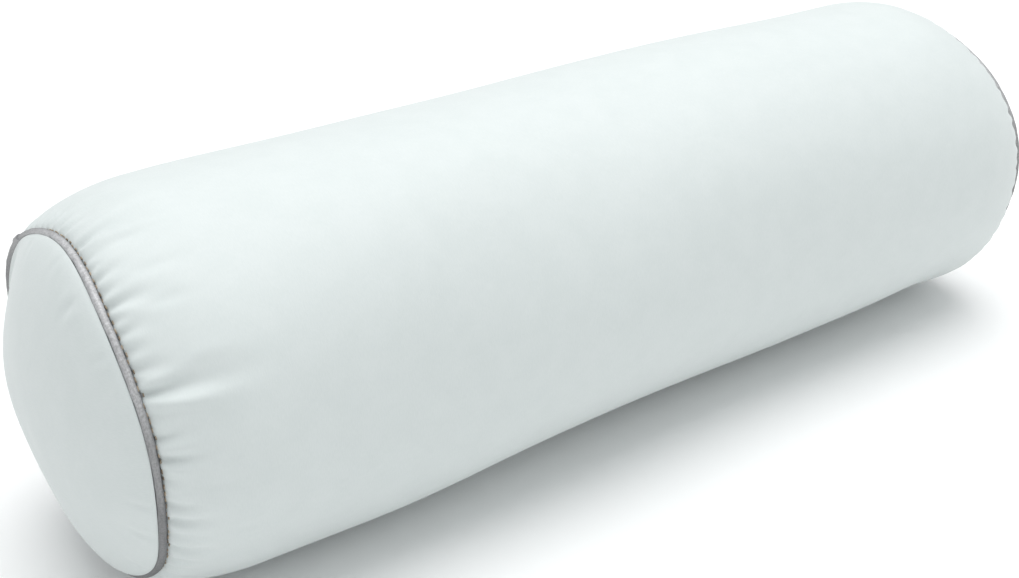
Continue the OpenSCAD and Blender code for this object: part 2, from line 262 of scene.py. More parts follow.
def settled(x, r, theta):
    """Moves the straight shape (x, r, theta) to where the stuffed cushion has settled, as (x, y, z).
    r grows by the oval and the swell, shrinks at the waist, follows the seams near the ends, and is
    held above the table: r <= height / |sin theta|, softened with a log of exponentials. The slack
    part of the left end moves inward by SLACK_H * bell(theta) * share^3 * sqrt(1 - share^4)."""
    away = 1 - hill(theta, ZIP_ANGLE, ZIP_CALM)
    middle = smooth((PANEL_X - np.abs(x)) / CALM_REACH)
    waist = WAIST * np.exp(-((x - WAIST_X) / WAIST_L) ** 2)
    growth = 1 + away * middle * (OVAL * np.cos(2 * theta) - waist)
    swell = away * middle * unevenness(x, theta)
    shift_r, shift_x = 0, 0
    for side in (-1, 1):
        out, along = seam_shift(side, theta)
        near = np.exp(-(np.clip(HALF_L - side * x, 0, None) / SEAM_REACH) ** 2)
        shift_r = shift_r + near * out
        shift_x = shift_x + near * along
    outside = cover_r(x)
    share = r / outside
    grown = outside * growth + swell + shift_r
    table_gap = (AXIS_Z + TABLE_SPARE) / np.maximum(-np.sin(theta), LEAST_DOWN)
    rounding = TABLE_SOFT * np.log1p(np.exp(-np.abs(grown - table_gap) / TABLE_SOFT))
    r = (np.minimum(grown, table_gap) - rounding) * share
    z = AXIS_Z + r * np.sin(theta)
    inside = np.clip(share, 0, 1)
    past = smooth((-x - HALF_L) / SLACK_EASE)
    slack = hill(theta, SLACK_AT, SLACK_WIDTH) * inside ** 3 * np.sqrt(1 - inside ** 4)
    x = x + shift_x * inside ** 2 + SLACK_H * past * slack
    return np.stack(np.broadcast_arrays(x, r * np.cos(theta), np.maximum(z, 0)), -1)


# %% [markdown]
# ## The gathers
# The body panel is longer round its edge than the end panel, so the extra cloth is drawn up in
# small folds as it is sewn. Each fold is a narrow valley with a puffed ridge on each side. It is
# sharpest a few millimetres from the seam and fades over the shoulder. The folds are placed one by
# one, with uneven spacing, because evenly spaced ones would look like machine pleats.

# %% Gathers
# Each row: angle in degrees, length in mm, depth in mm
FOLDS_LEFT = [
    (79, 12, 0.5), (85, 15, 1.0), (90, 16, 1.1), (96, 9, 0.4), (102, 38, 1.7), (108.5, 12, 0.6),
    (112.5, 9, 0.5), (117, 15, 1.2), (122, 10, 0.7), (126.5, 22, 1.4), (130.5, 9, 0.5), (135, 14, 1.0),
    (140.5, 10, 0.6), (145.5, 15, 1.1), (152.5, 44, 2.3), (159, 10, 0.5),
    (165.5, 19, 1.4), (171.5, 23, 1.9), (178, 11, 0.7), (186, 15, 1.2), (192, 24, 1.5),
    (198, 12, 0.7), (204, 26, 1.5), (211, 16, 1.2), (217, 18, 1.0), (223, 12, 0.9),
]
# Soft dents away from the seam: side, angle, distance from the seam, length, width and depth in mm
DENTS = [
    (-1, 109, 19, 9, 2.6, 0.8), (-1, 88, 13, 8, 3.0, 0.6), (-1, 121, 25, 10, 3.0, 0.45),
    (-1, 131, 21, 9, 2.6, 0.45), (-1, 149, 22, 12, 3.4, 0.7), (-1, 157, 16, 15, 3.0, -0.9),
    (-1, 174, 26, 12, 2.4, -0.4), (-1, 181, 22, 12, 2.6, 0.4), (-1, 197, 30, 12, 3.0, 0.4),
    (-1, 209, 27, 12, 3.0, 0.4), (1, 60, 20, 10, 3.0, 0.6), (1, 95, 22, 10, 3.0, 0.5),
]
# All other folds: their spacing in degrees and its range, then the ranges of length and depth in mm
FOLD_SPACE = 5.6
FOLD_SPACE_RANGE = (0.7, 1.4)
FOLD_LENGTHS = (8, 21)
FOLD_DEPTHS = (0.6, 1.35)
# A fold widens from its narrow end at the seam, and its ridges stand beside its valley
FOLD_NARROW = 1.25 * MM
FOLD_WIDE = 3.1 * MM
WIDE_AT = 20 * MM
WIDEST = 1.4
RIDGE_SHARE = 0.42
RIDGE_AT = 1.9
# It starts at a share of its depth at the seam and dies out past its length
PINCH_SHARE = 0.3
PINCH_REACH = 3.5 * MM
FADE_REACH = 1.25
LEAN = 0.02
LEAN_CHANGE = 1.7
scatter = np.random.default_rng(5)


def more_folds(first, last, depth):
    """Folds from one angle to another with uneven spacing, length and depth."""
    angles, at = [], first
    while at < last:
        angles.append((at, scatter.uniform(*FOLD_LENGTHS), scatter.uniform(*FOLD_DEPTHS) * depth))
        at += FOLD_SPACE * scatter.uniform(*FOLD_SPACE_RANGE)
    return angles


FOLDS = {-1: FOLDS_LEFT + more_folds(230, 446, 1.0), 1: more_folds(0, 354, 0.6)}


def gather(s, theta, side):
    """Height of the gathered cloth over its mean at distance s from the seam and angle theta.
    Each fold adds depth * fade(s) * (ridges - valley), where valley = exp(-t^2), the ridges are
    exp(-(|t| - RIDGE_AT)^2), and t = distance across the fold / width(s)."""
    height = np.zeros(np.broadcast(s, theta).shape)
    for angle, length, depth in FOLDS[side]:
        length, depth = length * MM, depth * MM
        centre = math.radians(angle) + LEAN * np.sin(angle * LEAN_CHANGE) * s / length
        width = FOLD_NARROW + (FOLD_WIDE - FOLD_NARROW) * np.clip(s / WIDE_AT, 0, WIDEST)
        t = np.abs(turn(theta, centre)) * EDGE_R / width
        pinch = PINCH_SHARE + (1 - PINCH_SHARE) * smooth(s / PINCH_REACH)
        fade = smooth(1 - s / (FADE_REACH * length)) * pinch
        height = height + depth * fade * (RIDGE_SHARE * np.exp(-(t - RIDGE_AT) ** 2) - np.exp(-t ** 2))
    for which, angle, start, length, width, depth in DENTS:
        if which == side:
            t = turn(theta, math.radians(angle)) * BODY_R / (width * MM)
            height = height - depth * MM * np.exp(-t ** 2 - ((s - start * MM) / (length * MM)) ** 2)
    return height


print({side: len(folds) for side, folds in FOLDS.items()}, "folds at the ends")

# %% [markdown]
# ## From a grid of points to a surface
# Every sheet below is a grid of points worked out at once as whole arrays. This step joins the
# grid into four-sided faces, closes it into a tube or to a pole where asked, and stores the flat
# cutting position of each point, in metres, for the weave to follow.

# %% Surfaces
def joined(name, points, quads, flat=None):
    """Mesh object from points and four-sided faces. A corner that a face has twice is dropped, and so
    is a point that no face has. flat holds each point's flat cutting position."""
    used, new = np.unique(quads, return_inverse=True)
    faces = [tuple(dict.fromkeys(q)) for q in new.reshape(-1, 4).tolist()]
    mesh = bpy.data.meshes.new(name)
    mesh.from_pydata(points.reshape(-1, 3)[used], [], faces)
    if flat is not None:
        layer = mesh.uv_layers.new(name="cloth")
        corners = np.zeros(len(mesh.loops), dtype=np.int64)
        mesh.loops.foreach_get("vertex_index", corners)
        layer.data.foreach_set("uv", flat.reshape(-1, 2)[used][corners].astype(np.float32).ravel())
    mesh.shade_smooth()
    obj = bpy.data.objects.new(name, mesh)
    bpy.context.scene.collection.objects.link(obj)
    return obj


def surface(name, points, flat=None, wrap=False, pole=False, both_poles=False):
    """Grid points (rows, columns, 3) joined to a mesh object. wrap closes the columns into a tube,
    pole joins the last row to one point, and both_poles the first row as well."""
    rows, cols = points.shape[:2]
    ids = np.arange(rows * cols).reshape(rows, cols)
    if pole or both_poles:
        ids[-1] = ids[-1, 0]
    if both_poles:
        ids[0] = ids[0, 0]
    right = np.roll(ids, -1, 1) if wrap else ids[:, 1:]
    left = ids if wrap else ids[:, :-1]
    quads = np.stack([left[:-1], right[:-1], right[1:], left[1:]], -1).reshape(-1, 4)
    return joined(name, points, quads, flat)


def path_length(x, r):
    """Distance travelled down each column of the rows (x, r), starting at 0."""
    steps = np.hypot(np.diff(x, axis=0), np.diff(r, axis=0))
    return np.concatenate([np.zeros_like(x[:1]), np.cumsum(steps, axis=0)])


def ring_angles(count):
    """Evenly spaced angles once round, as one row."""
    return (np.arange(count) * 2 * np.pi / count)[None, :]


def disc_cut(far, theta):
    """Flat cutting position on a disc: the distance left to the middle, at each angle."""
    left = far[-1] - far
    return np.stack([left * np.cos(theta), left * np.sin(theta)], -1)


def unit(v):
    """Vectors brought to length 1."""
    return v / np.linalg.norm(v, axis=-1, keepdims=True)


def square_to(v, along):
    """Unit vectors v with their part along another unit vector taken out."""
    return unit(v - along * (v * along).sum(-1, keepdims=True))


def tell(obj, body, nodes, slot):
    """Declares what a piece rides on, which CAD nodes it stands for, and its material slot."""
    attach(obj, body)
    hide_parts(*nodes)
    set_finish(obj, slot)
    print(f"{obj.name}: {len(obj.data.polygons)} faces")


def mesh_area(obj):
    """Area of a mesh in square metres."""
    areas = np.zeros(len(obj.data.polygons), dtype=np.float32)
    obj.data.polygons.foreach_get("area", areas)
    return float(areas.sum())


# %% [markdown]
# ## The body cloth
# One panel of sateen wraps round the bolster. Its two long edges are folded under and meet at the
# zip, where they stand a few millimetres apart; past the ends of the zip they close into a seam.
# Its two ends are folded under at the piping. It is one sheet with real folded edges, and no
# thickness is added, because a doubled shell would only hide the folds.

# %% Body cloth
SEAM_TURN = 13 * MM
UNDER = 1.0 * MM
ZIP_UNDER = 0.95 * MM
CLOSED_GAP = 0.03 * MM
OUTER_ROWS = 72
TURN_ROWS = 7
OUTER_COLS = 556
TURN_COLS = 10
# Rows crowd towards the seam, where the folds are fine
ROW_CROWDING = 1.9
HEM_START = 0.04
HEM_LAST_COL = 0.03
HEM_SLOPE = 3.5
# The slot closes over this length at each end of the zip
ZIP_EASE = 3 * MM
# Layers lie this share of their depth apart at the seam itself, and open out over this reach
CLOSE_SHARE = 0.35
CLOSE_REACH = 4 * MM
# The turned-in cloth and the cloth near the zip are less gathered
HIDDEN_CALM = 0.5
ZIP_FOLD_CALM = 0.7
ZIP_FOLD_WIDTH = 0.12


def under_share(s):
    """Share of a layer's full depth at distance s from the seam, where the layers close up."""
    return CLOSE_SHARE + (1 - CLOSE_SHARE) * smooth(s / CLOSE_REACH)


def cloth_rows():
    """Distance from the seam, depth and side for each row, from the left hem to the right hem."""
    outer = HALF_CLOTH * np.linspace(0, 1, OUTER_ROWS + 1) ** ROW_CROWDING
    hem = SEAM_TURN * np.linspace(HEM_START, 1, TURN_ROWS)
    half_s = np.concatenate([hem[::-1], outer])
    half_under = np.concatenate([np.ones(TURN_ROWS), np.zeros(OUTER_ROWS + 1)])
    s = np.concatenate([half_s, half_s[-2::-1]])
    under = np.concatenate([half_under, half_under[-2::-1]])
    side = np.concatenate([-np.ones(len(half_s)), np.ones(len(half_s) - 1)])
    return s[:, None], under[:, None], side[:, None]


row_s, row_under, row_side = cloth_rows()
rest = UNDER * row_under * under_share(row_s)
row_x, row_r = outline(row_s, rest)
row_x = row_x * row_side
below_x, below_r = outline(row_s, rest + 1.0)
normal_x = (np.abs(row_x) - below_x) * row_side
normal_r = row_r - below_r

open_zip = smooth((ZIP_HALF + ZIP_EASE / 2 - np.abs(row_x)) / ZIP_EASE)
gap = CLOSED_GAP + (SLOT_HALF - CLOSED_GAP) * open_zip
outer_share = np.linspace(0, 1, OUTER_COLS + 1)[None, :]
hem_share = np.linspace(1, HEM_LAST_COL, TURN_COLS)[None, :]
hem_drop = np.clip(HEM_SLOPE * hem_share, 0, 1) * np.ones_like(row_s)
edge = gap / BODY_R
reach = HEM_W / BODY_R
theta = np.concatenate([
    edge + reach * hem_share,
    edge + (2 * np.pi - 2 * edge) * outer_share,
    2 * np.pi - edge - reach * hem_share[:, ::-1],
], 1) + ZIP_ANGLE
drop = np.concatenate([hem_drop, np.zeros((len(row_s), OUTER_COLS + 1)), hem_drop[:, ::-1]], 1)
folds = np.where(row_side < 0, gather(row_s, theta, -1), gather(row_s, theta, 1))
by_zip = hill(theta, ZIP_ANGLE, ZIP_FOLD_WIDTH)
folds = folds * (1 - HIDDEN_CALM * row_under) * (1 - ZIP_FOLD_CALM * by_zip)
lift = folds - ZIP_UNDER * drop
body_points = settled(row_x + normal_x * lift, row_r + normal_r * lift, theta)
cut_along = row_side * (HALF_CLOTH - row_s + 2 * row_s * row_under)
across = np.concatenate([
    edge - reach * hem_share,
    edge + (2 * np.pi - 2 * edge) * outer_share,
    2 * np.pi - edge + reach * hem_share[:, ::-1],
], 1) * BODY_R
cut = np.stack(np.broadcast_arrays(across, cut_along), -1)
body_cloth = surface("cover_body_cloth", body_points[:, ::-1], cut[:, ::-1])
tell(body_cloth, "cover", ["body_panel"], "cover_cloth")
BODY_CUT = (2 * np.pi * BODY_R + 2 * HEM_W, 2 * (HALF_CLOTH + SEAM_TURN))
body_share = mesh_area(body_cloth) / BODY_CUT[0] / BODY_CUT[1]
print(f"cut {BODY_CUT[0]:.3f} x {BODY_CUT[1]:.3f}, area share {body_share:.3f}")

# %% [markdown]
# ## The end cloths
# Each round end panel lies under the body cloth at the seam, passes below the piping, comes up in
# front of it and bulges over the filling. Short puckers run in from the seam where the two
# cloths were eased together. It is a grid of rings that closes at the middle.

# %% End cloths
SKIRT = 2.8 * MM
SKIRT_ROWS = 6
TUCK_ROWS = 8
DOME_ROWS = 64
END_COLS = 420
DOME_POWER = 1.42
CLEAR = 0.14 * MM
END_TURN = 13 * MM
SKIRT_END = 0.02
# The cloth hugs the piping between two angles, and stops sooner in the slack part of the left end
HUG_START = -118
HUG_END = -14
HUG_SLACK = 62
# Rows of the dome crowd towards its rim, which stands a little proud of the hugging part
DOME_CROWDING = 1.15
RIM_STEP = 0.3 * MM
SHOW_PACE = 8
# Each row: side, angle in degrees, then distance in from the seam, length, depth and width in mm
PUCKERS = [
    (-1, 118, 8, 9, 0.75, 2.6), (-1, 139, 5, 7, 0.4, 2.0), (-1, 187, 3, 9, 0.6, 1.7),
    (-1, 200, 3, 9, 0.6, 1.7), (-1, 100, 3, 7, 0.35, 2.0), (-1, 160, 3, 6, 0.3, 1.8),
    (-1, 75, 3, 7, 0.35, 2.2), (-1, 222, 3, 8, 0.4, 2.0), (-1, 245, 3, 7, 0.4, 2.0),
]
# Small puckers fill the rest of each seam: first and last angle in degrees
PUCKER_ARCS = {-1: (250, 420), 1: (0, 356)}
PUCKER_PEAK = 0.3
PUCKER_SPREAD = 0.55
PUCKER_RIDGE = 0.4
PUCKER_RIDGE_AT = 1.8
SWELL_H = 0.5 * MM
for side, (at, last) in PUCKER_ARCS.items():
    while at < last:
        PUCKERS.append((side, at, scatter.uniform(2, 5), scatter.uniform(5, 10),
                        scatter.uniform(0.2, 0.55), scatter.uniform(1.4, 2.6)))
        at += scatter.uniform(7, 19)


def pucker(inward, theta, side):
    """Depth of the short radial wrinkles at a distance inward from the seam: a bell across each
    one, times a bell along it, less two low ridges."""
    height = np.zeros(np.broadcast(inward, theta).shape)
    for which, angle, start, length, depth, width in PUCKERS:
        if which == side:
            across = np.abs(turn(theta, math.radians(angle))) * SEAM_R / (width * MM)
            middle = (start + PUCKER_PEAK * length) * MM
            along = np.exp(-((inward - middle) / (PUCKER_SPREAD * length * MM)) ** 2)
            ridges = PUCKER_RIDGE * np.exp(-(across - PUCKER_RIDGE_AT) ** 2)
            height = height + depth * MM * along * (ridges - np.exp(-across ** 2))
    return height


def end_profile(side, theta):
    """Rows of (x, r, share of the wrinkles that shows, distance) from the hidden skirt to the middle
    point. The hugging part is a circle round the piping, and the dome is r = rim sin a,
    x = rim x + height cos^p a."""
    skirt_s = END_TURN * np.linspace(1, SKIRT_END, SKIRT_ROWS)
    skirt_x, skirt_r = outline(skirt_s, SKIRT * under_share(skirt_s))
    hug = PIPE_R + CLEAR
    slack = (side < 0) * hill(theta, SLACK_AT, SLACK_WIDTH)
    hug_end = np.radians(HUG_END - HUG_SLACK * slack)
    hug_start = np.radians(HUG_START)
    phi = hug_start + (hug_end - hug_start) * np.linspace(0, 1, TUCK_ROWS)[:, None]
    tuck_x, tuck_r = HALF_L + hug * np.cos(phi), SEAM_R + hug * np.sin(phi)
    a = (np.pi / 2 * (1 - np.linspace(0, 1, DOME_ROWS) ** DOME_CROWDING))[:, None]
    start = tuck_x[-1]
    dome_x = start + (DOME_X - start) * np.maximum(np.cos(a), 0) ** DOME_POWER
    dome_r = (tuck_r[-1] + RIM_STEP * (1 - slack)) * np.sin(a)
    same = np.ones_like(theta)
    x = np.concatenate([skirt_x[:, None] * same, tuck_x, dome_x])
    r = np.concatenate([skirt_r[:, None] * same, tuck_r, dome_r])
    dome_show = smooth(np.linspace(0, SHOW_PACE, DOME_ROWS))
    show = np.concatenate([np.zeros(SKIRT_ROWS + TUCK_ROWS), dome_show])
    return x, r, show[:, None], path_length(x, r)


def dome_swell(r, theta, side):
    """Slow unevenness of the filled end, calm at the seam and at the middle."""
    ring = np.sin(np.pi * np.clip(r / EDGE_R, 0, 1))
    return SWELL_H * ring * (np.cos(2 * theta + 0.8 * side) + 0.7 * np.cos(3 * theta - 1.1 * side))


end_theta = ring_angles(END_COLS)
for side, word in ((-1, "left"), (1, "right")):
    end_x, end_r, end_show, end_far = end_profile(side, end_theta)
    inward = np.maximum(end_far - end_far[SKIRT_ROWS + TUCK_ROWS], 0)
    lift = end_show * (pucker(inward, end_theta, side) + dome_swell(end_r, end_theta, side))
    points = settled(side * (end_x + lift), np.maximum(end_r, TINY), end_theta)
    points[-1] = points[-1].mean(0)
    cut = disc_cut(end_far, end_theta)
    cloth = surface(f"cover_end_cloth_{word}", points[:, ::side], cut[:, ::side], wrap=True, pole=True)
    tell(cloth, "cover", [f"end_panel_{word}"], "cover_cloth")

# %% [markdown]
# ## The piping
# Piping is a bias-cut strip of satin folded round a cord and sewn shut, so that it has a round part
# that shows and a flat flange hidden in the seam. The strip is laid here as it is sewn: flange, once
# round the cord, flange. Where its two ends meet, one laps over the other and makes a small step.

# %% Piping
PIPE_COLS = 520
ROUND_ROWS = 30
FLANGE_ROWS = 6
FLANGE_UPPER = 2.2 * MM
FLANGE_LOWER = 2.45 * MM
FLANGE_W = 12.5 * MM
FLANGE_END = 0.03
# The strip goes round the cord between these angles
ROUND_FROM = 212
ROUND_TO = -124
# Where the two ends of the strip meet, and how the lap rises
JOIN = {-1: math.radians(47), 1: math.radians(310)}
LAP = math.radians(5)
LAP_LIFT = 0.5 * MM
LAP_FLAT = 0.8
LAP_EASE = 1.2 * MM
# Each row: length of the ripple in metres, height in mm
RIPPLES = [(0.0061, 0.045), (0.0087, 0.05), (0.0127, 0.06), (0.031, 0.09), (0.052, 0.1)]
RIPPLE_SHARE = 0.6
SLANT = 0.004
# The satin's strength mixes painted light and real mottle: the bands paint light near the top of the
# strip and paint shade low in front and near its tail at 22 degrees, and the mottle is uneven dye. Each
# row: angle in degrees, added strength, width in radians
DYE_BASE = 1.08
PAINTED_LIGHT_BANDS = [(205, -0.6, 0.85), (82, 0.9, 0.5), (22, -0.45, 0.4)]
DYE_MOTTLE = 0.12
ripple_waves = np.random.default_rng(23)


def satin_ripple(arc, phi):
    """Slanting ripples of a bias strip pulled round a cord: a sum of waves in arc + slant * phi."""
    total = np.zeros(np.broadcast(arc, phi).shape)
    for length, size in RIPPLES:
        slant = ripple_waves.uniform(0.5, 1.1) * SLANT
        wave = 2 * np.pi * (arc + slant * phi) / length
        total = total + size * MM * np.sin(wave + ripple_waves.uniform(0, 6))
    return total


def painted_light_and_mottle_strength(theta):
    """Colour strength: base + a bell for each band of painted light and painted shade + mottle of the dye
    * sin 9 theta * sin 4 theta.
    """
    strength = DYE_BASE + DYE_MOTTLE * np.sin(9 * theta) * np.sin(4 * theta)
    for angle, added, width in PAINTED_LIGHT_BANDS:
        strength = strength + added * hill(theta, math.radians(angle), width)
    return strength


flange_s = FLANGE_W * np.linspace(1, FLANGE_END, FLANGE_ROWS)
upper_x, upper_r = outline(flange_s, FLANGE_UPPER * under_share(flange_s))
lower_x, lower_r = outline(flange_s[::-1], FLANGE_LOWER * under_share(flange_s[::-1]))
round_phi = np.radians(np.linspace(ROUND_FROM, ROUND_TO, ROUND_ROWS))[:, None]
pipe_len = 2 * np.pi * SEAM_R * (1 + LAP / (2 * np.pi))
for side, word in ((-1, "left"), (1, "right")):
    turn_share = np.linspace(0, 1, PIPE_COLS)[None, :]
    pipe_theta = JOIN[side] + (2 * np.pi + LAP) * turn_share
    arc = turn_share * pipe_len
    lap = LAP_LIFT * (1 - smooth((arc - LAP_FLAT * LAP * SEAM_R) / LAP_EASE))
    pipe_r = PIPE_R + RIPPLE_SHARE * satin_ripple(arc, round_phi) + lap
    round_x, round_r = HALF_L + pipe_r * np.cos(round_phi), SEAM_R + pipe_r * np.sin(round_phi)
    spread = np.ones_like(pipe_theta)
    x = np.concatenate([upper_x[:, None] * spread, round_x, lower_x[:, None] * spread])
    r = np.concatenate([upper_r[:, None] * spread, round_r, lower_r[:, None] * spread])
    points = settled(side * x, r, pipe_theta)
    width_at = path_length(x[:, :1], r[:, :1])
    cut = np.stack(np.broadcast_arrays(arc, width_at), -1)
    piping = surface(f"piping_strip_{word}", points[:, ::side], cut[:, ::side])
    # Painted light and shade on the piping, with the dye's mottle, stored at each point for its finish
    painted_light_and_mottle = painted_light_and_mottle_strength(pipe_theta)[:, ::side] * np.ones_like(x)
    layer = piping.data.attributes.new("painted_light_and_mottle", "FLOAT", "POINT")
    layer.data.foreach_set("value", painted_light_and_mottle.astype(np.float32).ravel())
    tell(piping, "cover", [f"piping_{word}"], "piping_satin")

# %% [markdown]
# ## The cord inside the piping
# The filler is a soft cotton cord. It follows the same wandering seam as the strip round it.

# %% Filler cords
CORD_SIDES = 18
CORD_COLS = 260
FILLER_R = CORD_R - 0.02 * MM
# The cord is a round tube: x = seam x + R cos phi, r = seam radius + R sin phi
cord_phi = ring_angles(CORD_SIDES).T
cord_x, cord_r = HALF_L + FILLER_R * np.cos(cord_phi), SEAM_R + FILLER_R * np.sin(cord_phi)
for side, word in ((-1, "left"), (1, "right")):
    points = settled(side * cord_x, cord_r, ring_angles(CORD_COLS))
    points = np.concatenate([points, points[:1]])
    cord = surface(f"piping_filler_{word}", points[:, ::-side], wrap=True)
    tell(cord, "cover", [f"piping_cord_{word}"], "filler_cord")

# %% [markdown]
# ## Stitches
# Every stitch that shows is a short piece of thread that dips into the cloth at both ends. One
# small capsule is made once and set down many times, turned to follow the seam.

# %% Stitch shape
STITCH_SIDES = 6
THREAD_R = 0.2 * MM
stitch_at = np.array([-0.5, -0.44, -0.3, 0.0, 0.3, 0.44, 0.5])
stitch_size = np.array([0.0, 0.7, 1.0, 1.05, 1.0, 0.7, 0.0])


def stitches(name, middles, along, out, length, radius=THREAD_R, dip=0.16 * MM):
    """N stitches as one mesh. Point = middle + along * p * length + out * (R cos a - dip (2p)^2)
    + across * R sin a, with p from -1/2 to 1/2 and a round the thread."""
    across = np.cross(along, out)
    a = ring_angles(STITCH_SIDES)[:, None, :, None]
    p, size = stitch_at[None, :, None, None], stitch_size[None, :, None, None] * radius
    bow = dip * (2 * p) ** 2
    length = np.asarray(length).reshape(-1, 1, 1, 1)
    pts = (middles[:, None, None] + along[:, None, None] * p * length
           + out[:, None, None] * (size * np.cos(a) - bow) + across[:, None, None] * size * np.sin(a))
    count, rings, sides = pts.shape[:3]
    one = np.arange(rings * sides).reshape(rings, sides)
    one[0], one[-1] = one[0, 0], one[-1, 0]
    nxt = np.roll(one, -1, 1)
    quads = np.stack([one[:-1], one[1:], nxt[1:], nxt[:-1]], -1).reshape(-1, 4)
    quads = (quads[None] + (np.arange(count) * rings * sides)[:, None, None]).reshape(-1, 4)
    return joined(name, pts, quads)


# Step round the seam, in radians, and step into the cloth, for finding a stitch's directions
STEP_ROUND = 0.01
STEP_IN = 2 * MM


def seam_frame(x, r, deep_x, deep_r, theta):
    """Places on a layer with the unit directions along its seam and out of it. The deep place is
    under each one, and out = here - deep, made square to the seam."""
    here = settled(x, r, theta)
    along = unit(settled(x, r, theta + STEP_ROUND) - here)
    return here, along, square_to(unit(here - settled(deep_x, deep_r, theta)), along)


# Each hand stitch is set a little unevenly, as shares of its spacing and in mm
END_STITCHES = 146
STITCH_S = 1.0 * MM
STITCH_L = 2.3 * MM
STITCH_PROUD = 0.2 * MM
END_THREAD_R = 0.26 * MM
UNEVEN = 0.12
for side, word in ((-1, "left"), (1, "right")):
    number = np.arange(END_STITCHES) + scatter.uniform(-UNEVEN, UNEVEN, END_STITCHES)
    stitch_theta = number * 2 * np.pi / END_STITCHES
    s = STITCH_S + scatter.uniform(-UNEVEN, UNEVEN, END_STITCHES) * MM
    height = gather(s, stitch_theta, side)
    x, r = outline(s, -STITCH_PROUD - height)
    deep_x, deep_r = outline(s, STEP_IN - height)
    here, along, out = seam_frame(side * x, r, side * deep_x, deep_r, stitch_theta)
    lengths = STITCH_L * scatter.uniform(0.8, 1.05, END_STITCHES)
    ring = stitches(f"seam_stitches_{word}", here, along, out, lengths, END_THREAD_R)
    tell(ring, "cover", [f"end_stitches_{word}"], "seam_thread")

# %% [markdown]
# ## The zip
# The zip is two woven tapes, each with a nylon coil sewn to its edge. The loops of the two coils
# mesh with each other. The coil is drawn as one real helix on each side, flattened against the
# tape, with its loops shifted by half a pitch so that they interlock.

# %% Zip tapes and coils
TAPE_COLS = 14
TAPE_ROWS = 160
COIL_STEPS = 12
COIL_SIDES = 4
COIL_PITCH = 1.3 * MM
COIL_WIRE = 0.27 * MM
COIL_MESH = 0.45 * MM
# Keeps the last loop inside the coil's length
COIL_DRAWN = 0.998
# Inner and outer edge of a tape from the zip line, and how far under its CAD face it is drawn
TAPE_EDGES = (1.15 * MM, 14.15 * MM)
TAPE_SINK = 0.2 * MM
FRAY_H = 0.15 * MM
FRAY_PACE = 900
ALONG_X = np.array([1.0, 0, 0])


def at_zip(x, out, up):
    """Point at x along the zip, a distance out from the middle line and up along the cloth."""
    x, out, up = np.broadcast_arrays(x, out, up)
    return AXIS + x[..., None] * ALONG_X + out[..., None] * ZIP_OUT + up[..., None] * ZIP_UP


def on_zip_arc(x, radius, reach):
    """Point at x along the zip, on a radius, at a distance reach round the cloth from the zip line."""
    return at_zip(x, radius * np.cos(reach / radius), radius * np.sin(reach / radius))


def tube(name, path, normal, radius, sides):
    """Tube round a path: point = path + R (cos a normal + sin a binormal), closed at both ends."""
    tangent = unit(np.gradient(path, axis=0))
    normal = square_to(normal, tangent)
    binormal = np.cross(tangent, normal)
    a = ring_angles(sides)[..., None]
    rings = path[:, None] + radius * (np.cos(a) * normal[:, None] + np.sin(a) * binormal[:, None])
    first, last = path[None, :1].repeat(sides, 1), path[None, -1:].repeat(sides, 1)
    rings = np.concatenate([first, rings, last])
    return surface(name, rings, wrap=True, both_poles=True)


for word, side in (("upper", 1), ("lower", -1)):
    low, high = zip_box(f"zip_tape_{word}")
    tape_top = np.hypot(*(cad_points(f"zip_tape_{word}") - AXIS)[:, 1:].T).max()
    start, stop = TAPE_EDGES
    reach = (start + (stop - start) * np.linspace(0, 1, TAPE_COLS))[None, :] * side
    xs = np.linspace(low[0], high[0], TAPE_ROWS)[:, None]
    frayed = FRAY_H * np.sin(xs * FRAY_PACE) * (np.abs(xs) > high[0] - 1 * MM)
    points = on_zip_arc(xs + frayed, tape_top - TAPE_SINK, reach)
    cut = np.stack(np.broadcast_arrays(reach, xs), -1)
    tape = surface(f"zip_tape_cloth_{word}", points[::-side], cut[::-side])
    tell(tape, "cover", [f"zip_tape_{word}"], "zip_tape")

    low, high = zip_box(f"zip_coil_{word}")
    loops = (high[0] - low[0] - 2 * COIL_WIRE) / COIL_PITCH
    phi = np.arange(0, loops * 2 * np.pi, 2 * np.pi / COIL_STEPS)
    half_h = (high[1] - low[1]) / 2 - COIL_WIRE
    outer = max(abs(low[2]), abs(high[2])) - COIL_WIRE
    half_w = (outer + COIL_MESH) / 2
    half_pitch = 0.5 if side < 0 else 0
    x = low[0] + COIL_WIRE + COIL_PITCH * (phi / (2 * np.pi) + half_pitch) * COIL_DRAWN
    mid = (low[1] + high[1]) / 2
    path = at_zip(x, mid + half_h * np.cos(phi), side * (outer - half_w + half_w * np.sin(phi)))
    normal = np.cos(phi)[:, None] * ZIP_OUT + side * np.sin(phi)[:, None] * ZIP_UP
    coil = tube(f"zip_coil_loops_{word}", path, normal, COIL_WIRE, COIL_SIDES)
    tell(coil, "cover", [f"zip_coil_{word}"], "zip_coil")

# %% [markdown]
# ## Stitching beside the zip
# Two rows of topstitching hold the folded cloth to the tapes, and a dense bar of stitches crosses
# each end of the opening, where the zip is pulled hardest.

# %% Zip stitching
ROW_REACH = 6.2 * MM
ROW_PITCH = 4 * MM
ROW_STITCH = 2.4 * MM
ROW_PAST = 2.4 * MM
ROW_PROUD = 0.1 * MM
BAR_STITCHES = 17
BAR_STITCH = 1.9 * MM
BAR_PROUD = 0.14 * MM
BAR_PAST = 1.5 * MM
BAR_WIDER = 1 * MM
BAR_TILT = 0.35


def zip_row(x, reach, proud, along, length):
    """One row of stitches by the zip: their middles, directions along and out, and lengths."""
    out = unit(on_zip_arc(x, BODY_R, reach) - on_zip_arc(x, BODY_R / 2, reach / 2))
    middles = on_zip_arc(x, BODY_R + proud, reach)
    return middles, along * np.ones_like(out), out, np.full(len(x), length)


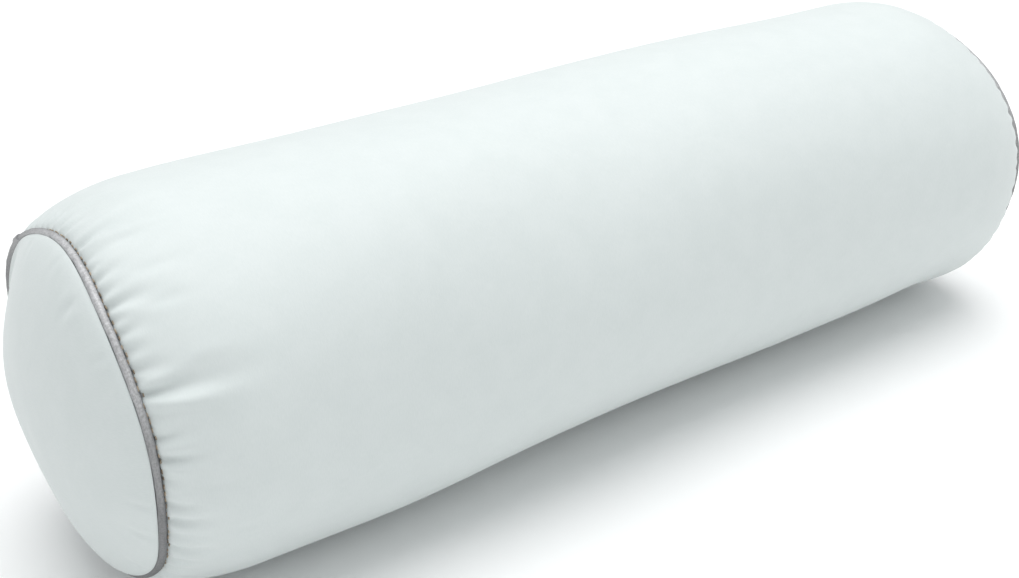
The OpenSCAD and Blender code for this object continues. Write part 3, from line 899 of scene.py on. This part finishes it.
row_half = ZIP_HALF + ROW_PAST
places = np.arange(-row_half + ROW_PITCH / 2, row_half, ROW_PITCH)
bar = np.linspace(-1, 1, BAR_STITCHES) * (ROW_REACH + BAR_WIDER)
tilt = np.where(np.arange(BAR_STITCHES) % 2, BAR_TILT, -BAR_TILT)[:, None]
rows = []
for side in (-1, 1):
    reach = side * ROW_REACH * np.ones_like(places)
    rows.append(zip_row(places, reach, ROW_PROUD, ALONG_X, ROW_STITCH))
    bar_x = side * (row_half + BAR_PAST) * np.ones(BAR_STITCHES)
    rows.append(zip_row(bar_x, bar, BAR_PROUD, unit(ALONG_X + tilt * ZIP_UP), BAR_STITCH))
middles, alongs, outs, lengths = (np.concatenate(part) for part in zip(*rows))
outs = square_to(outs, alongs)
topstitching = stitches("zip_topstitching", middles, alongs, outs, lengths)
tell(topstitching, "cover", ["zip_stitches"], "white_thread")

# %% [markdown]
# ## The metal parts
# The slider, its pull tab and the stops are cast or stamped. Their CAD solids are kept, and a weld
# and a small bevel soften their edges, since no cast part has a knife edge.

# %% Metal parts
# Width of each part's bevel in mm
WELD = 0.01 * MM
SHARP = math.radians(35)
SOFTEN = {"zip_slider": 0.28, "zip_pull": 0.25, "zip_top_stops": 0.15, "zip_bottom_stop": 0.2}
for node, width in SOFTEN.items():
    part = frame["nodes"][node]
    weld = part.modifiers.new("weld", "WELD")
    weld.merge_threshold = WELD
    bevel = part.modifiers.new("soft edges", "BEVEL")
    bevel.width = width * MM
    bevel.segments = 3
    bevel.limit_method = "ANGLE"
    bevel.angle_limit = SHARP
    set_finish(part, "zip_metal")
    print(node, "edges softened by", width, "mm")

# %% [markdown]
# ## The inner pillow
# The filling is a pillow of its own, so that the cover can be washed. Its liner is plain cotton, a
# tube and two domed ends, a little looser and more wrinkled than the cover.

# %% Liner
LINER_DEPTH = BODY_R - corner("liner_body", True, 1)
LINER_END_X = corner("liner_body", True, 0)
LINER_COLS = 300
LINER_HALF_ROWS = 60
LINER_SINK = 0.2 * MM
WRINKLE_H = 0.12 * MM
WRINKLE_MEAN = 0.64
crumple = np.random.default_rng(31)
crumple_waves = [(crumple.integers(5, 17), crumple.uniform(-90, 90), crumple.uniform(0, 6))
                 for _ in range(12)]


def wrinkles(x, theta):
    """Small wrinkles of loose cotton: a sum of |cos| ridges of many directions, less their mean."""
    total = np.zeros(np.broadcast(x, theta).shape)
    for m, k, start in crumple_waves:
        total = total + np.abs(np.cos(m * theta + k * x + start)) - WRINKLE_MEAN
    return WRINKLE_H * total / math.sqrt(len(crumple_waves))


around = ring_angles(LINER_COLS)
half_x = LINER_END_X * (1 - np.linspace(1, 0, LINER_HALF_ROWS) ** 2)
xs = np.concatenate([-half_x[::-1], half_x[1:]])[:, None]
liner_r = cover_r(xs) - LINER_DEPTH
points = settled(xs, liner_r + wrinkles(xs, around) - LINER_SINK, around)
cut = np.stack(np.broadcast_arrays(around * BODY_R, xs), -1)
liner = surface("liner_body_cloth", points[:, ::-1], cut[:, ::-1], wrap=True)
tell(liner, "cover", ["liner_body"], "liner_cloth")

LINER_RIM = EDGE_R - LINER_DEPTH - 0.5 * MM
LINER_TURN = 8 * MM
LINER_DOME_ROWS = 44
DOME_SINK = 0.3 * MM


def domed(rim_x, rim_r, top_x, steps):
    """Rows (x, r) of a dome from its rim to its middle: r = rim sin a, x = rim x + height cos^p a."""
    a = np.pi / 2 * (1 - np.linspace(0, 1, steps))
    return rim_x + (top_x - rim_x) * np.maximum(np.cos(a), 0) ** DOME_POWER, rim_r * np.sin(a)


for side, word in ((-1, "left"), (1, "right")):
    dome_x, dome_r = domed(LINER_END_X, LINER_RIM - LINER_SINK, LINER_DOME_X - DOME_SINK,
                           LINER_DOME_ROWS)
    x = np.concatenate([[LINER_END_X - LINER_TURN, LINER_END_X - LINER_TURN / 2], dome_x])[:, None]
    r = np.concatenate([[LINER_RIM - DOME_SINK] * 2, dome_r])[:, None]
    bumps = wrinkles(r, around) * smooth(r / EDGE_R * 3) * (np.arange(len(x)) > 2)[:, None]
    points = settled(side * (x + bumps), np.maximum(r, TINY), around)
    points[-1] = points[-1].mean(0)
    far = path_length(x, r)
    cut = disc_cut(far, around)
    cloth = surface(f"liner_end_cloth_{word}", points[:, ::side], cut[:, ::side], wrap=True, pole=True)
    tell(cloth, "cover", [f"liner_end_{word}"], "liner_cloth")

LINER_STITCHES = 90
LINER_STITCH = 2.6 * MM
LINER_THREAD_R = 0.16 * MM
LINER_SEAM_IN = 3 * MM
rows = []
for side in (-1, 1):
    x = side * (LINER_END_X - LINER_SEAM_IN) * np.ones(LINER_STITCHES)
    r = cover_r(x) - LINER_DEPTH
    rows.append(seam_frame(x, r, x, r - STEP_IN, ring_angles(LINER_STITCHES)[0]))
middles, alongs, outs = (np.concatenate(part) for part in zip(*rows))
liner_rows = stitches("liner_seam_stitches", middles, alongs, outs, LINER_STITCH, LINER_THREAD_R)
tell(liner_rows, "cover", ["liner_stitches"], "white_thread")

# %% [markdown]
# ## Wadding and foam
# Polyester wadding is rolled round the foam and capped at each end, which is what makes the outside
# soft and the ends round. The foam cylinder in the middle keeps the bolster's length. Both are
# closed shapes with a slightly uneven skin.

# %% Wadding and foam
# Wadding is drawn a little smaller than its solid, so that its lumps stay clear of the liner
LUMP_ROOM = 0.4 * MM
WADDING_DEPTH = BODY_R - corner("wadding_wrap", True, 1) + LUMP_ROOM
WADDING_SINK = 0.3 * MM
BORE_R = FOAM_R + 0.3 * MM
FILL_COLS = 200
WRAP_ROWS = 90
PAD_ROWS = 34
ROLL_LUMPS = 0.15 * MM
PAD_LUMPS = 0.12 * MM


def lumps(x, theta, height):
    """Lumps of loose fibre: height times a sum of products of slow waves."""
    return height * (np.sin(9 * theta + 60 * x) * np.sin(7 * theta - 85 * x + 1)
                     + 0.6 * np.sin(17 * theta + 140 * x) + 0.4 * np.sin(23 * theta - 210 * x + 2))


def solid_of_turn(name, x, r, bumps, side=-1, poles=True):
    """Closed solid from rows (x, r) turned round the middle line; bumps are added to r. It ends in a
    point at both ends, or without poles it comes back to its first row."""
    points = settled(x[:, None], np.maximum(r[:, None] + bumps, TINY), around)
    if poles:
        points[0] = points[0].mean(0)
        points[-1] = points[-1].mean(0)
    else:
        points = np.concatenate([points, points[:1]])
    return surface(name, points[:, ::side], wrap=True, both_poles=poles)


around = ring_angles(FILL_COLS)
wrap_x = FOAM_X * np.sin(np.linspace(-np.pi / 2, np.pi / 2, WRAP_ROWS))
inner_x = wrap_x[::-1][::4]
all_x = np.concatenate([wrap_x, inner_x])
all_r = np.concatenate([cover_r(wrap_x) - WADDING_DEPTH, np.full(len(inner_x), BORE_R)])
loose = np.concatenate([np.ones(len(wrap_x)), np.zeros(len(inner_x))])[:, None]
bumps = loose * (lumps(all_x[:, None], around, ROLL_LUMPS) - WADDING_SINK)
roll = solid_of_turn("wadding_roll", all_x, all_r, bumps, poles=False)
tell(roll, "cover", ["wadding_wrap"], "wadding")

PAD_X = corner("wadding_pad_right", False, 0)
PAD_TOP_X = corner("wadding_pad_right", True, 0)
PAD_R = corner("wadding_pad_right", True, 1)
for side, word in ((-1, "left"), (1, "right")):
    top_x, top_r = domed(LINER_END_X, PAD_R - LUMP_ROOM, PAD_TOP_X - DOME_SINK, PAD_ROWS)
    x = side * np.concatenate([[PAD_X, PAD_X, PAD_X], top_x])
    r = np.concatenate([[0, PAD_R / 2, PAD_R - LUMP_ROOM], top_r])
    fluff = np.concatenate([[0, 0, 0], np.sin(np.linspace(0, np.pi, PAD_ROWS))])[:, None]
    bumps = fluff * lumps(x[:, None], around, PAD_LUMPS)
    pad = solid_of_turn(f"wadding_cap_{word}", x, r, bumps, side)
    tell(pad, "cover", [f"wadding_pad_{word}"], "wadding")

ROUND = 2 * MM
FOAM_ROWS = 60
FOAM_SINK = 0.1 * MM
foam_turn = np.linspace(0, np.pi / 2, 6)
end_x = np.concatenate([[FOAM_X, FOAM_X], FOAM_X - ROUND * (1 - np.cos(foam_turn))])
end_r = np.concatenate([[0, FOAM_R / 2], FOAM_R - ROUND * (1 - np.sin(foam_turn))])
side_x = np.linspace(-FOAM_X + ROUND, FOAM_X - ROUND, FOAM_ROWS)[1:-1]
x = np.concatenate([-end_x, side_x, end_x[::-1]])
r = np.concatenate([end_r, np.full(len(side_x), FOAM_R), end_r[::-1]])
foam = solid_of_turn("foam_cylinder", x, r, -FOAM_SINK * (r > FOAM_R * 0.9)[:, None])
tell(foam, "cover", ["foam_core"], "foam")

# %% [markdown]
# ## Shared finishes
# Two small node groups are used by several finishes. One draws woven threads from the cloth's flat
# cutting position, so that the weave follows the cloth over the shoulders. The other gives a soft
# unevenness of tone.

# %% Node groups
def node(tree, kind, **settings):
    """Adds a shader node and sets its properties and, by name, its inputs."""
    made = tree.nodes.new(kind)
    for key, value in settings.items():
        if hasattr(made, key):
            setattr(made, key, value)
        else:
            made.inputs[key.replace("_", " ")].default_value = value
    return made


def maths(tree, operation, a, b=None):
    """A Math node; a and b are sockets or numbers."""
    made = tree.nodes.new("ShaderNodeMath")
    made.operation = operation
    for slot_number, value in enumerate((a, b)):
        if value is None:
            continue
        if isinstance(value, bpy.types.NodeSocket):
            tree.links.new(value, made.inputs[slot_number])
        else:
            made.inputs[slot_number].default_value = value
    return made.outputs[0]


def new_group(name, inputs, outputs):
    """An empty node group with these number inputs (name, default) and number outputs."""
    tree = bpy.data.node_groups.new(name, "ShaderNodeTree")
    for label, value in inputs:
        socket = tree.interface.new_socket(name=label, in_out="INPUT", socket_type="NodeSocketFloat")
        socket.default_value = value
    for label in outputs:
        tree.interface.new_socket(name=label, in_out="OUTPUT", socket_type="NodeSocketFloat")
    return tree, tree.nodes.new("NodeGroupInput"), tree.nodes.new("NodeGroupOutput")


threads, given, result = new_group("woven threads", [("Pitch", 0.0004), ("Slope", 0.25)],
                                   ["Height", "Tone"])


def thread_wave(across):
    """Height of the threads that run one way: sin(2 pi across / pitch)."""
    turned = maths(threads, "MULTIPLY", across, 2 * math.pi)
    return maths(threads, "SINE", maths(threads, "DIVIDE", turned, given.outputs["Pitch"]))


place = threads.nodes.new("ShaderNodeUVMap")
place.uv_map = "cloth"
parts = threads.nodes.new("ShaderNodeSeparateXYZ")
threads.links.new(place.outputs[0], parts.inputs[0])
wobble = node(threads, "ShaderNodeTexNoise", Scale=260.0, Detail=2.0)
threads.links.new(place.outputs[0], wobble.inputs["Vector"])
drift = maths(threads, "MULTIPLY", wobble.outputs[0], 0.0006)
u = maths(threads, "ADD", parts.outputs[0], drift)
slanted = maths(threads, "MULTIPLY", parts.outputs[0], given.outputs["Slope"])
v = maths(threads, "ADD", parts.outputs[1], slanted)
warp = maths(threads, "MULTIPLY", thread_wave(u), 0.5)
weft = maths(threads, "MULTIPLY", thread_wave(v), 0.3)
weave = maths(threads, "ADD", warp, weft)
slub = node(threads, "ShaderNodeTexNoise", Scale=1.0, Detail=3.0, Roughness=0.6)
long_way = node(threads, "ShaderNodeMapping", Scale=(420.0, 2300.0, 1.0))
threads.links.new(place.outputs[0], long_way.inputs["Vector"])
threads.links.new(long_way.outputs[0], slub.inputs["Vector"])
threads.links.new(maths(threads, "ADD", weave, slub.outputs[0]), result.inputs["Height"])
threads.links.new(slub.outputs[0], result.inputs["Tone"])

cloud, given, result = new_group("uneven tone", [("Size", 0.03)], ["Tone"])
where = cloud.nodes.new("ShaderNodeTexCoord")
blotch = node(cloud, "ShaderNodeTexNoise", Detail=3.0, Roughness=0.55)
cloud.links.new(where.outputs["Object"], blotch.inputs["Vector"])
cloud.links.new(maths(cloud, "DIVIDE", 1.0, given.outputs["Size"]), blotch.inputs["Scale"])
cloud.links.new(blotch.outputs[0], result.inputs["Tone"])
print("groups:", [g.name for g in bpy.data.node_groups])

# %% [markdown]
# ## The finishes
# Sateen floats its threads on the face, so it is smooth and softly bright, with a weave that only
# shows close up. The piping satin is greyer, mottled and shinier, with painted light on its top and
# painted shade low and at its edges. Nylon, metal, cotton, wadding and foam follow. Each one is
# built from the same few steps: tone, roughness and a fine bump.

# %% Finishes
def finish(name, low, high, rough, size=0.03, pitch=None, slope=0.25, bump=0.0, tone_mix=0.5,
           edge=None, painted_light_and_mottle=False, **sockets):
    """A material whose colour runs from low to high with the uneven tone and the weave. It can multiply
    in the stored strength, which is painted light and shade with real mottle, and it can lay a painted
    shade colour, edge, where the surface turns away from the view.
    """
    made = bpy.data.materials.new(name)
    made.use_nodes = True
    tree = made.node_tree
    shader = tree.nodes["Principled BSDF"]
    tone = tree.nodes.new("ShaderNodeGroup")
    tone.node_tree = cloud
    tone.inputs["Size"].default_value = size
    value = tone.outputs["Tone"]
    height = None
    if pitch:
        woven = tree.nodes.new("ShaderNodeGroup")
        woven.node_tree = threads
        woven.inputs["Pitch"].default_value = pitch
        woven.inputs["Slope"].default_value = slope
        height = woven.outputs["Height"]
        value = maths(tree, "ADD", maths(tree, "MULTIPLY", value, 1 - tone_mix),
                      maths(tree, "MULTIPLY", woven.outputs["Tone"], tone_mix))
    ramp = node(tree, "ShaderNodeMapRange", interpolation_type="SMOOTHSTEP")
    ramp.inputs["From Min"].default_value = 0.3
    ramp.inputs["From Max"].default_value = 0.7
    tree.links.new(value, ramp.inputs["Value"])
    mix = node(tree, "ShaderNodeMix", data_type="RGBA")
    mix.inputs[6].default_value = (*low, 1)
    mix.inputs[7].default_value = (*high, 1)
    tree.links.new(ramp.outputs[0], mix.inputs[0])
    colour = mix.outputs[2]
    # Painted light and shade: the colour is multiplied by the stored strength, which is lighter on top of
    # the piping and darker low, with the dye's mottle
    if painted_light_and_mottle:
        strength = node(tree, "ShaderNodeAttribute", attribute_name="painted_light_and_mottle")
        with_painted_light = node(tree, "ShaderNodeMix", data_type="RGBA", blend_type="MULTIPLY")
        with_painted_light.inputs[0].default_value = 1.0
        tree.links.new(colour, with_painted_light.inputs[6])
        tree.links.new(strength.outputs["Fac"], with_painted_light.inputs[7])
        colour = with_painted_light.outputs[2]
    # Painted shade: the colour darkens towards edge where the surface turns away from the view, standing
    # in for the shade where the piping meets the cloth
    if edge:
        grazing = node(tree, "ShaderNodeLayerWeight", Blend=0.5)
        painted_edge_shade = node(tree, "ShaderNodeMix", data_type="RGBA")
        tree.links.new(maths(tree, "POWER", grazing.outputs["Facing"], 1.4), painted_edge_shade.inputs[0])
        tree.links.new(colour, painted_edge_shade.inputs[6])
        painted_edge_shade.inputs[7].default_value = (*edge, 1)
        colour = painted_edge_shade.outputs[2]
    tree.links.new(colour, shader.inputs["Base Color"])
    roughness = maths(tree, "ADD", rough, maths(tree, "MULTIPLY", value, 0.08))
    tree.links.new(roughness, shader.inputs["Roughness"])
    if bump:
        relief = node(tree, "ShaderNodeBump", Strength=1.0, Distance=bump)
        tree.links.new(height if height is not None else value, relief.inputs["Height"])
        tree.links.new(relief.outputs[0], shader.inputs["Normal"])
    for key, value in sockets.items():
        shader.inputs[key.replace("_", " ")].default_value = value
    return made


SATEEN = (0.640, 0.690, 0.682)
SATEEN_LIGHT = (0.680, 0.726, 0.719)
FINISHES = {
    "cover_cloth": finish("cool white sateen", SATEEN, SATEEN_LIGHT, 0.52, 0.012, 0.0004, 0.35,
                          0.00002, tone_mix=0.6, Sheen_Weight=0.2, Sheen_Roughness=0.5),
    # The piping gets painted light and shade from its stored strength, and painted shade at its edges
    # where it turns from view
    "piping_satin": finish("grey heather satin", (0.30, 0.30, 0.305), (0.56, 0.56, 0.57), 0.3, 0.0009,
                           0.00035, 1.0, 0.00002, tone_mix=0.35, edge=(0.05, 0.05, 0.055),
                           painted_light_and_mottle=True, Specular_IOR_Level=0.9),
    "filler_cord": finish("cotton cord", (0.74, 0.70, 0.60), (0.86, 0.83, 0.76), 0.85, 0.002,
                          bump=0.0002),
    "seam_thread": finish("tan thread", (0.17, 0.12, 0.08), (0.48, 0.38, 0.27), 0.5, 0.004),
    "white_thread": finish("white thread", (0.74, 0.77, 0.76), (0.86, 0.88, 0.87), 0.45, 0.002),
    "zip_tape": finish("woven zip tape", (0.70, 0.74, 0.73), (0.82, 0.86, 0.85), 0.7, 0.01, 0.0007,
                       1.0, 0.00006),
    "zip_coil": finish("nylon coil", (0.80, 0.82, 0.81), (0.86, 0.88, 0.87), 0.3, 0.006,
                       Coat_Weight=0.1),
    "zip_metal": finish("nickel", (0.60, 0.60, 0.59), (0.70, 0.70, 0.69), 0.24, 0.002, Metallic=1.0),
    "liner_cloth": finish("plain cotton", (0.80, 0.80, 0.77), (0.89, 0.89, 0.87), 0.85, 0.008,
                          0.0006, 0.0, 0.00006),
    "wadding": finish("polyester wadding", (0.82, 0.82, 0.81), (0.95, 0.95, 0.94), 0.95, 0.003,
                      bump=0.0008, Sheen_Weight=0.5),
    "foam": finish("cushion foam", (0.74, 0.63, 0.36), (0.86, 0.76, 0.50), 0.9, 0.0012, bump=0.0004),
}
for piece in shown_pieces():
    name = piece.get("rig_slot")
    if name is None:
        continue
    piece.data.materials.clear()
    piece.data.materials.append(FINISHES[name])

# %% [markdown]
# ## Floor, light and camera
# A plain white floor and an even pale sky stand in for a product sweep. One large soft light above
# brightens what faces up, so the underside and the end panel fall off gently. The camera looks
# slightly down at the near end.

# %% Stage
bpy.ops.mesh.primitive_plane_add(size=30, location=(0, 0, 0))
floor = bpy.context.object
floor.name = "floor"
paper = bpy.data.materials.new("white paper")
paper.use_nodes = True
matt = {"Base Color": (0.95, 0.95, 0.95, 1), "Roughness": 1.0, "Specular IOR Level": 0.0}
for key, value in matt.items():
    paper.node_tree.nodes["Principled BSDF"].inputs[key].default_value = value
floor.data.materials.append(paper)

SKY = (0.635, 0.65, 0.655)
world = bpy.data.worlds.new("pale sky")
world.use_nodes = True
world.node_tree.nodes["Background"].inputs["Color"].default_value = (*SKY, 1)
bpy.context.scene.world = world
lamp = bpy.data.lights.new("soft overhead light", "AREA")
lamp.shape = "DISK"
lamp.size = 2.4
lamp.energy = 45
overhead = bpy.data.objects.new("soft overhead light", lamp)
overhead.location = (0.3, 0.2, 2.3)
bpy.context.scene.collection.objects.link(overhead)

eye = bpy.data.cameras.new("camera")
eye.sensor_width = 36
eye.lens = 47.1
camera = bpy.data.objects.new("camera", eye)
camera.location = (-0.372, -0.460, 0.364)
camera.rotation_mode = "QUATERNION"
camera.rotation_quaternion = Vector((0.5205, 0.7180, -0.4622)).to_track_quat("-Z", "Y")
bpy.context.scene.collection.objects.link(camera)
bpy.context.scene.camera = camera
bpy.context.scene.view_settings.view_transform = "Standard"
